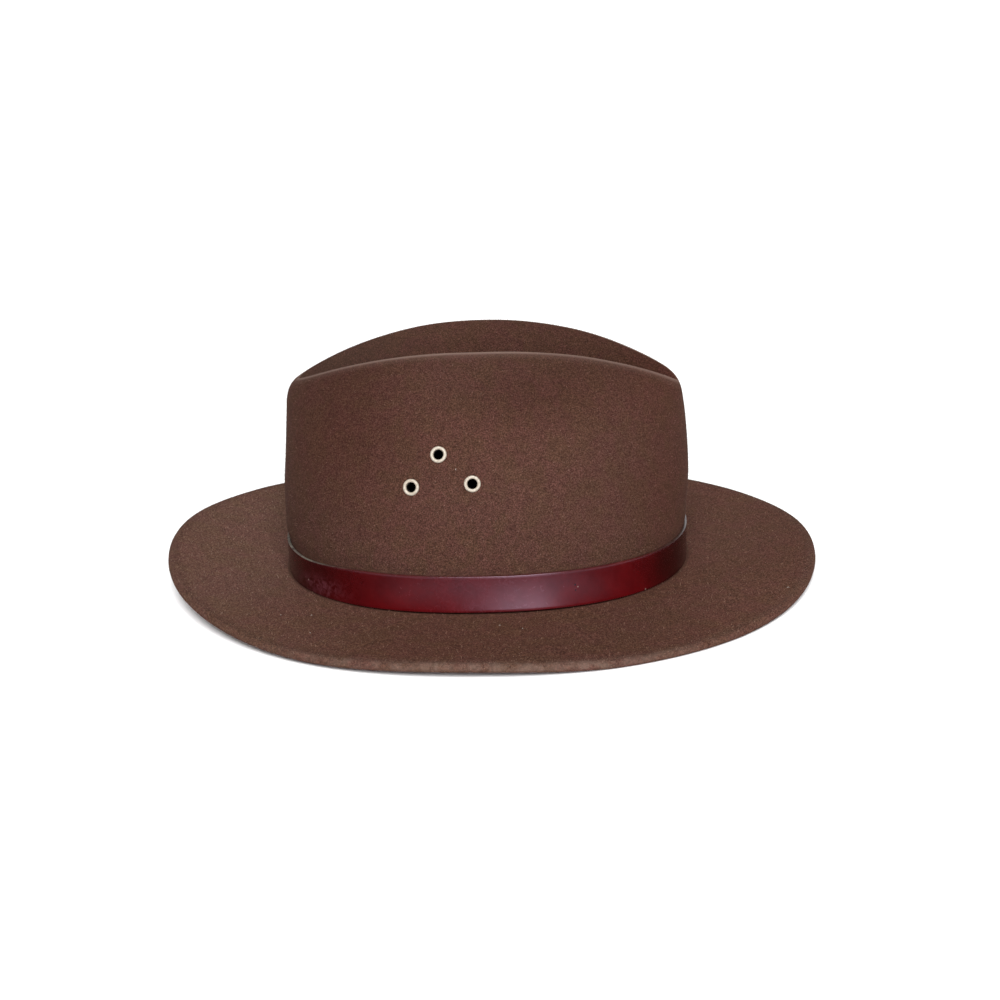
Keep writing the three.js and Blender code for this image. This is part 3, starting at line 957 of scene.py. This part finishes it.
LINT_DARK = (0.20, 0.16, 0.13)
EYELET_CREAM = (0.35, 0.31, 0.25)
EYELET_WORN = (0.22, 0.185, 0.135)
EYELET_BORE_SHADE = (0.012, 0.010, 0.009)
FLOOR_PALE = (0.88, 0.88, 0.88)

BAND_MARKS = (
    # where on the band's outside, in millimetres, radius, colour
    ((45.5, -79.6, 16.1), 0.50, NICK), ((45.7, -79.8, 13.4), 0.46, NICK),
    ((46.8, -79.2, 14.9), 0.34, SPECK), ((-89.4, -53.3, 8.9), 0.50, SPECK),
    ((80.2, -58.6, 4.9), 0.42, SPECK),
)


def felt_shading_and_redness(tree):
    """Two tints of the felt and its fibres: its painted light and shade, and how red it is."""
    painted_shading = blend(attribute(tree, "painted_shading"), PAINTED_SHADE_TINT, PAINTED_LIGHT_TINT)
    ruddy = blend(attribute(tree, "ruddy"), PLAIN_DYE, RUDDY)
    return painted_shading, ruddy


def crest_wear_and_highlight(tree):
    """How much wear and painted highlight the felt carries: fully on the fold of the crest, less and less
    down its outer side.
    """
    off_crest = attribute(tree, "off_crest")
    worn_and_lit = attribute(tree, "crest_wear_and_highlight")
    for low, high, to_low, to_high in ((-0.7, -0.1, 0.0, 1.0), (0.3, 2.6, 1.0, 0.15), (2.6, 6.0, 1.0, 0.0)):
        worn_and_lit = combine("MULTIPLY", worn_and_lit, spread(off_crest, low, high, to_low, to_high))
    return worn_and_lit


# Pale dust with painted sheen, then wear and painted highlight on the crest
def dust_sheen_wear_and_highlight(tree, tone):
    cover = spread(attribute(tree, "dusted_and_sheened"), 0.0, 1.0, 0.0, DUST_AND_SHEEN_COVER)
    with_dust_and_sheen = blend(cover, tone, DUST_AND_SHEEN)
    return blend(crest_wear_and_highlight(tree), with_dust_and_sheen, CREST_WEAR_AND_HIGHLIGHT)


def felt_material():
    material, tree = new_material("brown_wool_felt")
    place = piece_coordinates(tree)
    coarser = spread(attribute(tree, "brim"), 0.0, 1.0, 1.0, 0.72)
    scaled = add_node(tree, "ShaderNodeVectorMath", {0: place, "Scale": coarser}, operation="SCALE")
    scaled = scaled.outputs[0]
    grain = noise(scaled, 1700, 1.0)
    fibres = noise(scaled, 1000, 3.0, 0.6, 1.2)
    mottle = noise(scaled, 230)
    dye = noise(scaled, 95, 2.0, 0.6, 0.5)
    wear_and_highlight_patches = noise(place, 170, 3.0, 0.6, 0.5)
    tone = blend(spread(fibres, 0.35, 0.65), FELT_DARK, FELT_LIGHT)
    speckle = spread(grain, 0.38, 0.64, 0.66, 1.44)
    patches = spread(mottle, 0.3, 0.7, 0.94, 1.06)
    hue = blend(spread(dye, 0.38, 0.62), MAUVE, OLIVE)
    tone = tint(tone, speckle, patches, hue, *felt_shading_and_redness(tree))
    # Wear and painted highlight on the rim, in patches
    patchy_wear_and_highlight = spread(wear_and_highlight_patches, 0.36, 0.64, 0.08, 0.45)
    rubbed_and_highlit = combine("MULTIPLY", attribute(tree, "rubbed_and_highlit"), patchy_wear_and_highlight)
    tone = dust_sheen_wear_and_highlight(tree, blend(rubbed_and_highlit, tone, RIM_WEAR_AND_HIGHLIGHT))
    bump = add_bump(fibres, 0.22 * MM)
    bump = add_bump(grain, 0.12 * MM, bump)
    bump = add_bump(mottle, 0.25 * MM, bump, 0.6)
    add_shader(tree, {
        "Base Color": tone, "Normal": bump, "Roughness": 0.95, "Specular IOR Level": 0.05,
        "Sheen Weight": 0.03, "Sheen Roughness": 0.5, "Sheen Tint": FELT_SHEEN,
    })
    return material


def fibre_material():
    material, tree = new_material("felt_nap_fibre")
    paleness = combine("POWER", attribute(tree, "fibre_tone"), FEW_PALE)
    colour = tint(blend(paleness, FIBRE_DARK, FIBRE_PALE), *felt_shading_and_redness(tree))
    add_shader(tree, {
        "Base Color": dust_sheen_wear_and_highlight(tree, colour), "Roughness": 0.8, "Specular IOR Level": 0.05,
    })
    return material


def mark(place, centre, radius):
    """How much of a small round mark covers each point: most at its middle, nothing past its rim."""
    there = [value * MM for value in centre]
    away = add_node(place.id_data, "ShaderNodeVectorMath", {0: place, 1: there}, operation="DISTANCE")
    return spread(away.outputs["Value"], radius * 0.5 * MM, radius * 1.3 * MM, 0.85, 0.0)


def leather_material():
    material, tree = new_material("burgundy_leather")
    place = piece_coordinates(tree)
    grain = noise(place, 2600, 2.0, 0.6)
    cloud = noise(place, 70, 3.0, 0.55)
    scuff = noise(place, 330, 4.0, 0.7, 0.8)
    tone = blend(spread(cloud, 0.3, 0.7), LEATHER_DARK, LEATHER_LIGHT)
    clouded = spread(scuff, 0.35, 0.75, 0.9, 1.12)
    # Painted shade: the band darker towards its front and rear ends
    darker = spread(attribute(tree, "painted_end_shade"), 0.0, 1.0, 1.0, 0.3)
    shaded = spread(attribute(tree, "upper"), 0.0, 1.0, 1.08, 0.88)
    tone = tint(tone, clouded, darker, shaded)
    scuffs = spread(scuff, 0.42, 0.62, 0.0, 0.75)
    scuffed = combine("MULTIPLY", attribute(tree, "scuffed"), scuffs)
    tone = blend(scuffed, tone, LEATHER_SCUFFED)
    edge = attribute(tree, "cut_edge")
    fuzz = blend(spread(scuff, 0.35, 0.65), CUT_EDGE_DARK, CUT_EDGE_PALE)
    tone = blend(edge, tone, fuzz)
    for centre, radius, colour in BAND_MARKS:
        tone = blend(mark(place, centre, radius), tone, colour)
    polish = spread(attribute(tree, "polish"), 0.0, 1.0, 0.27, 0.21)
    gloss = combine("ADD", spread(scuff, 0.3, 0.75, -0.03, 0.03), polish)
    bump = add_bump(grain, 0.02 * MM, strength=0.6)
    add_shader(tree, {
        "Base Color": tone, "Normal": add_bump(scuff, 0.02 * MM, bump, 0.5),
        "Roughness": add_node(tree, "ShaderNodeMix", {0: edge, 2: gloss, 3: 0.9}).outputs[0],
        "Specular IOR Level": 0.44, "Specular Tint": LEATHER_GLOSS,
    })
    return material


def thread_material(name, pale, dark, roughness):
    """A twisted thread: fine slanting strands, lighter where they stand up."""
    material, tree = new_material(name)
    strands = noise(piece_coordinates(tree), 5200, 1.0, 0.5, 0.6)
    add_shader(tree, {
        "Base Color": blend(spread(strands, 0.35, 0.65), dark, pale),
        "Normal": add_bump(strands, 0.06 * MM), "Roughness": roughness, "Specular IOR Level": 0.3,
    })
    return material


def eyelet_material():
    material, tree = new_material("cream_eyelet")
    place = piece_coordinates(tree)
    wear = noise(place, 900, 3.0, 0.6)
    grain = noise(place, 3200)
    tone = blend(spread(wear, 0.45, 0.72), EYELET_CREAM, EYELET_WORN)
    # The bore is darkened with painted shade
    add_shader(tree, {
        "Base Color": blend(attribute(tree, "bore"), tone, EYELET_BORE_SHADE),
        "Normal": add_bump(grain, 0.02 * MM), "Roughness": spread(wear, 0.3, 0.7, 0.28, 0.46),
    })
    return material


# Trees that repeat a small shape: stitches on the band, and short fibres standing on the felt


def start_tree(name, inputs):
    """A tree with a geometry, a material and these inputs: itself, what comes in, and socket names."""
    tree = bpy.data.node_groups.new(name, "GeometryNodeTree")
    sockets = {
        label: tree.interface.new_socket(label, in_out="INPUT", socket_type=f"NodeSocket{kind}").identifier
        for label, kind in {"Geometry": "Geometry", **inputs, "Material": "Material"}.items()
    }
    tree.interface.new_socket("Geometry", in_out="OUTPUT", socket_type="NodeSocketGeometry")
    return tree, tree.nodes.new("NodeGroupInput").outputs, sockets


def place_copies(tree, shape, points, rotation, size):
    template = add_node(tree, "GeometryNodeObjectInfo", {"Object": shape, "As Instance": True})
    return add_node(tree, "GeometryNodeInstanceOnPoints", {
        "Points": points, "Instance": template.outputs["Geometry"], "Rotation": rotation, "Scale": size,
    }).outputs["Instances"]


def end_tree(tree, copies, material):
    real = add_node(tree, "GeometryNodeRealizeInstances", {"Geometry": copies})
    painted = add_node(
        tree, "GeometryNodeSetMaterial", {"Geometry": real.outputs["Geometry"], "Material": material}
    )
    add_node(tree, "NodeGroupOutput", {"Geometry": painted.outputs["Geometry"]})


def run_tree(piece, tree, sockets, values):
    """Runs a tree on a piece with these inputs and keeps the result as a plain mesh."""
    modifier = piece.modifiers.new(tree.name, "NODES")
    modifier.node_group = tree
    for label, value in values.items():
        modifier[sockets[label]] = value
    return settle(piece)


def stitching_tree(thread):
    """Puts one thread at every point, turned as the point says."""
    tree, given, sockets = start_tree("stitching", {"Size": "Float"})
    places = add_node(tree, "GeometryNodeMeshToPoints", {"Mesh": given["Geometry"]})
    turn = add_node(tree, "GeometryNodeInputNamedAttribute", {"Name": "turn"}, data_type="FLOAT_VECTOR")
    rotation = add_node(tree, "FunctionNodeEulerToRotation", {"Euler": turn.outputs["Attribute"]})
    copies = place_copies(
        tree, thread, places.outputs["Points"], rotation.outputs["Rotation"], given["Size"]
    )
    end_tree(tree, copies, given["Material"])
    return tree, sockets


def nap_tree(fibre):
    """Scatters the fibre where the felt has the named mark, leaning and turned at random."""
    kinds = ("String", "Float", "Float", "Float", "Float", "Float", "Int")
    tree, given, sockets = start_tree("felt_nap", dict(zip(NAP_VALUES, kinds)))

    def random_value(low, high, seed):
        node = add_node(tree, "FunctionNodeRandomValue", {2: low, 3: high, "Seed": seed}, data_type="FLOAT")
        return node.outputs[1]

    where = add_node(tree, "GeometryNodeInputNamedAttribute", {"Name": given["Where"]}, data_type="FLOAT")
    density = combine("MULTIPLY", given["Fibres per square metre"], where.outputs["Attribute"])
    scatter = add_node(tree, "GeometryNodeDistributePointsOnFaces", {
        "Mesh": given["Geometry"], "Density": density, "Seed": given["Seed"],
    })
    lean = random_value(given["Least lean"], given["Most lean"], LEAN_SEED)
    spin = random_value(0.0, 2 * math.pi, SPIN_SEED)
    euler = add_node(tree, "ShaderNodeCombineXYZ", {"X": lean, "Z": spin})
    local = add_node(tree, "FunctionNodeEulerToRotation", {"Euler": euler.outputs["Vector"]})
    turned = add_node(tree, "FunctionNodeRotateRotation", {
        "Rotation": scatter.outputs["Rotation"], "Rotate By": local.outputs["Rotation"],
    }, rotation_space="LOCAL")
    size = random_value(given["Shortest"], given["Longest"], LENGTH_SEED)
    copies = place_copies(tree, fibre, scatter.outputs["Points"], turned.outputs["Rotation"], size)
    shade = add_node(tree, "GeometryNodeStoreNamedAttribute", {
        "Geometry": copies, "Name": "fibre_tone", "Value": random_value(0.0, 1.0, TONE_SEED),
    }, data_type="FLOAT", domain="INSTANCE")
    end_tree(tree, shade.outputs["Geometry"], given["Material"])
    return tree, sockets


def build_fibre():
    """One fibre a millimetre long: a thin blade that curls over towards its tip."""
    half = FIBRE_HALF_WIDTH * MM
    points = [
        (-half, 0, 0), (half, 0, 0), (-half * 0.8, 0.10 * MM, 0.45 * MM), (half * 0.8, 0.10 * MM, 0.45 * MM),
        (0, 0.42 * MM, 0.82 * MM),
    ]
    return new_piece("fibre", points, [(0, 1, 3, 2), (2, 3, 4)], [])


def grow_nap(name, felt, tree, sockets, material, values):
    nap = put_in_scene(name, felt.data.copy())
    return run_tree(nap, tree, sockets, {**dict(zip(NAP_VALUES, values)), "Material": material})


# Stage


def build_floor():
    half = FLOOR_HALF_SIZE
    material, tree = new_material("pale_floor")
    add_shader(tree, {"Base Color": FLOOR_PALE, "Roughness": 0.9, "Specular IOR Level": 0.1})
    corners = [(-half, -half, 0), (half, -half, 0), (half, half, 0), (-half, half, 0)]
    floor = new_piece("studio_floor", corners, [(0, 1, 2, 3)], [material])


def direction(azimuth, elevation):
    """Towards a place round the hat: 0 is its right side, as in the photo, and 90 its front."""
    a, e = math.radians(azimuth), math.radians(elevation)
    return Vector((math.sin(a) * math.cos(e), -math.cos(a) * math.cos(e), math.sin(e)))


def aimed_from(name, data, back):
    """A light or camera turned to look back along this direction, kept level."""
    item = put_in_scene(name, data)
    item.rotation_mode = "QUATERNION"
    item.rotation_quaternion = back.to_track_quat("Z", "Y")
    return item


def add_far_light(name, azimuth, elevation, spread_angle, strength, colour):
    """A large soft light far off, so that it lights the hat and the whole floor alike."""
    data = bpy.data.lights.new(name, "SUN")
    data.energy, data.color, data.angle = strength, colour, math.radians(spread_angle)
    aimed_from(name, data, direction(azimuth, elevation))


def light_the_studio():
    """A dim white sky that looks bright to the camera, and the far lights."""
    bpy.context.scene.world = world = bpy.data.worlds.new("studio_world")
    world.use_nodes = True
    tree = world.node_tree
    sky = tree.nodes["Background"]
    sky.inputs["Color"].default_value = (1.0, 1.0, 1.0, 1.0)
    seen = add_node(tree, "ShaderNodeLightPath").outputs["Is Camera Ray"]
    tree.links.new(spread(seen, 0.0, 1.0, SKY_LIGHT, SKY_SEEN), sky.inputs["Strength"])
    for light in FAR_LIGHTS:
        add_far_light(*light)


def place_camera():
    data = bpy.data.cameras.new("photo_camera")
    data.lens = CAMERA_LENS
    data.sensor_width = 36.0
    data.shift_x, data.shift_y = CAMERA_SHIFT
    back = direction(CAMERA_AZIMUTH, CAMERA_ELEVATION)
    camera = aimed_from("photo_camera", data, back)
    camera.location = Vector(HAT_SHIFT) * MM + back * CAMERA_DISTANCE
    camera.rotation_quaternion @= Quaternion((0, 0, 1), math.radians(CAMERA_ROLL))
    bpy.context.scene.camera = camera


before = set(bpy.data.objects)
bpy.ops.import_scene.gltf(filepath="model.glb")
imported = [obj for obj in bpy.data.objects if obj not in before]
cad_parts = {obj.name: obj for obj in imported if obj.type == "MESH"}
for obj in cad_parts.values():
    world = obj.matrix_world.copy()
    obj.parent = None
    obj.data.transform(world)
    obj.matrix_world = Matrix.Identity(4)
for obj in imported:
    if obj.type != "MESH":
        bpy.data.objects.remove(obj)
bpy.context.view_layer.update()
place_camera()
light_the_studio()
build_floor()
bpy.context.scene.view_settings.view_transform = "Standard"

felt_finish = felt_material()
fibre_finish = fibre_material()
leather_finish = leather_material()
eyelet_finish = eyelet_material()
thread_finish = thread_material("burgundy_thread", THREAD_PALE, THREAD_DARK, 0.6)
lint_finish = thread_material("pale_lint", LINT_PALE, LINT_DARK, 0.9)

points, faces, marks = felt_mesh()
felt = new_piece("felt_hat", points, faces, [felt_finish], marks)
turn_faces_out(felt)
eyelet_frames = {
    f"eyelet_{side_name}_{number}": eyelet_frame(number, side)
    for side_name, side in (("right", -1), ("left", 1)) for number in EYELET_PLACES
}
drill_holes(felt, list(eyelet_frames.values()))

fibre = build_fibre()
tree, sockets = nap_tree(fibre)
nap_pieces = [
    grow_nap(nap_name, felt, tree, sockets, fibre_finish, values) for nap_name, values in NAP.items()
]
remove(fibre)
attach(felt, "root")
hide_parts("felt_body")
for nap in nap_pieces:
    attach(nap, "root")

band = build_band(leather_finish)
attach(band, "root")
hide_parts("leather_band")

stitches = sew_band_end(thread_finish)
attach(stitches, "root")

lint = build_lint(felt, lint_finish)
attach(lint, "root")

for node_name, eyelet_place in eyelet_frames.items():
    eyelet = build_eyelet(f"{node_name}_fine", eyelet_place, eyelet_finish)
    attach(eyelet, "root")
    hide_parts(node_name)
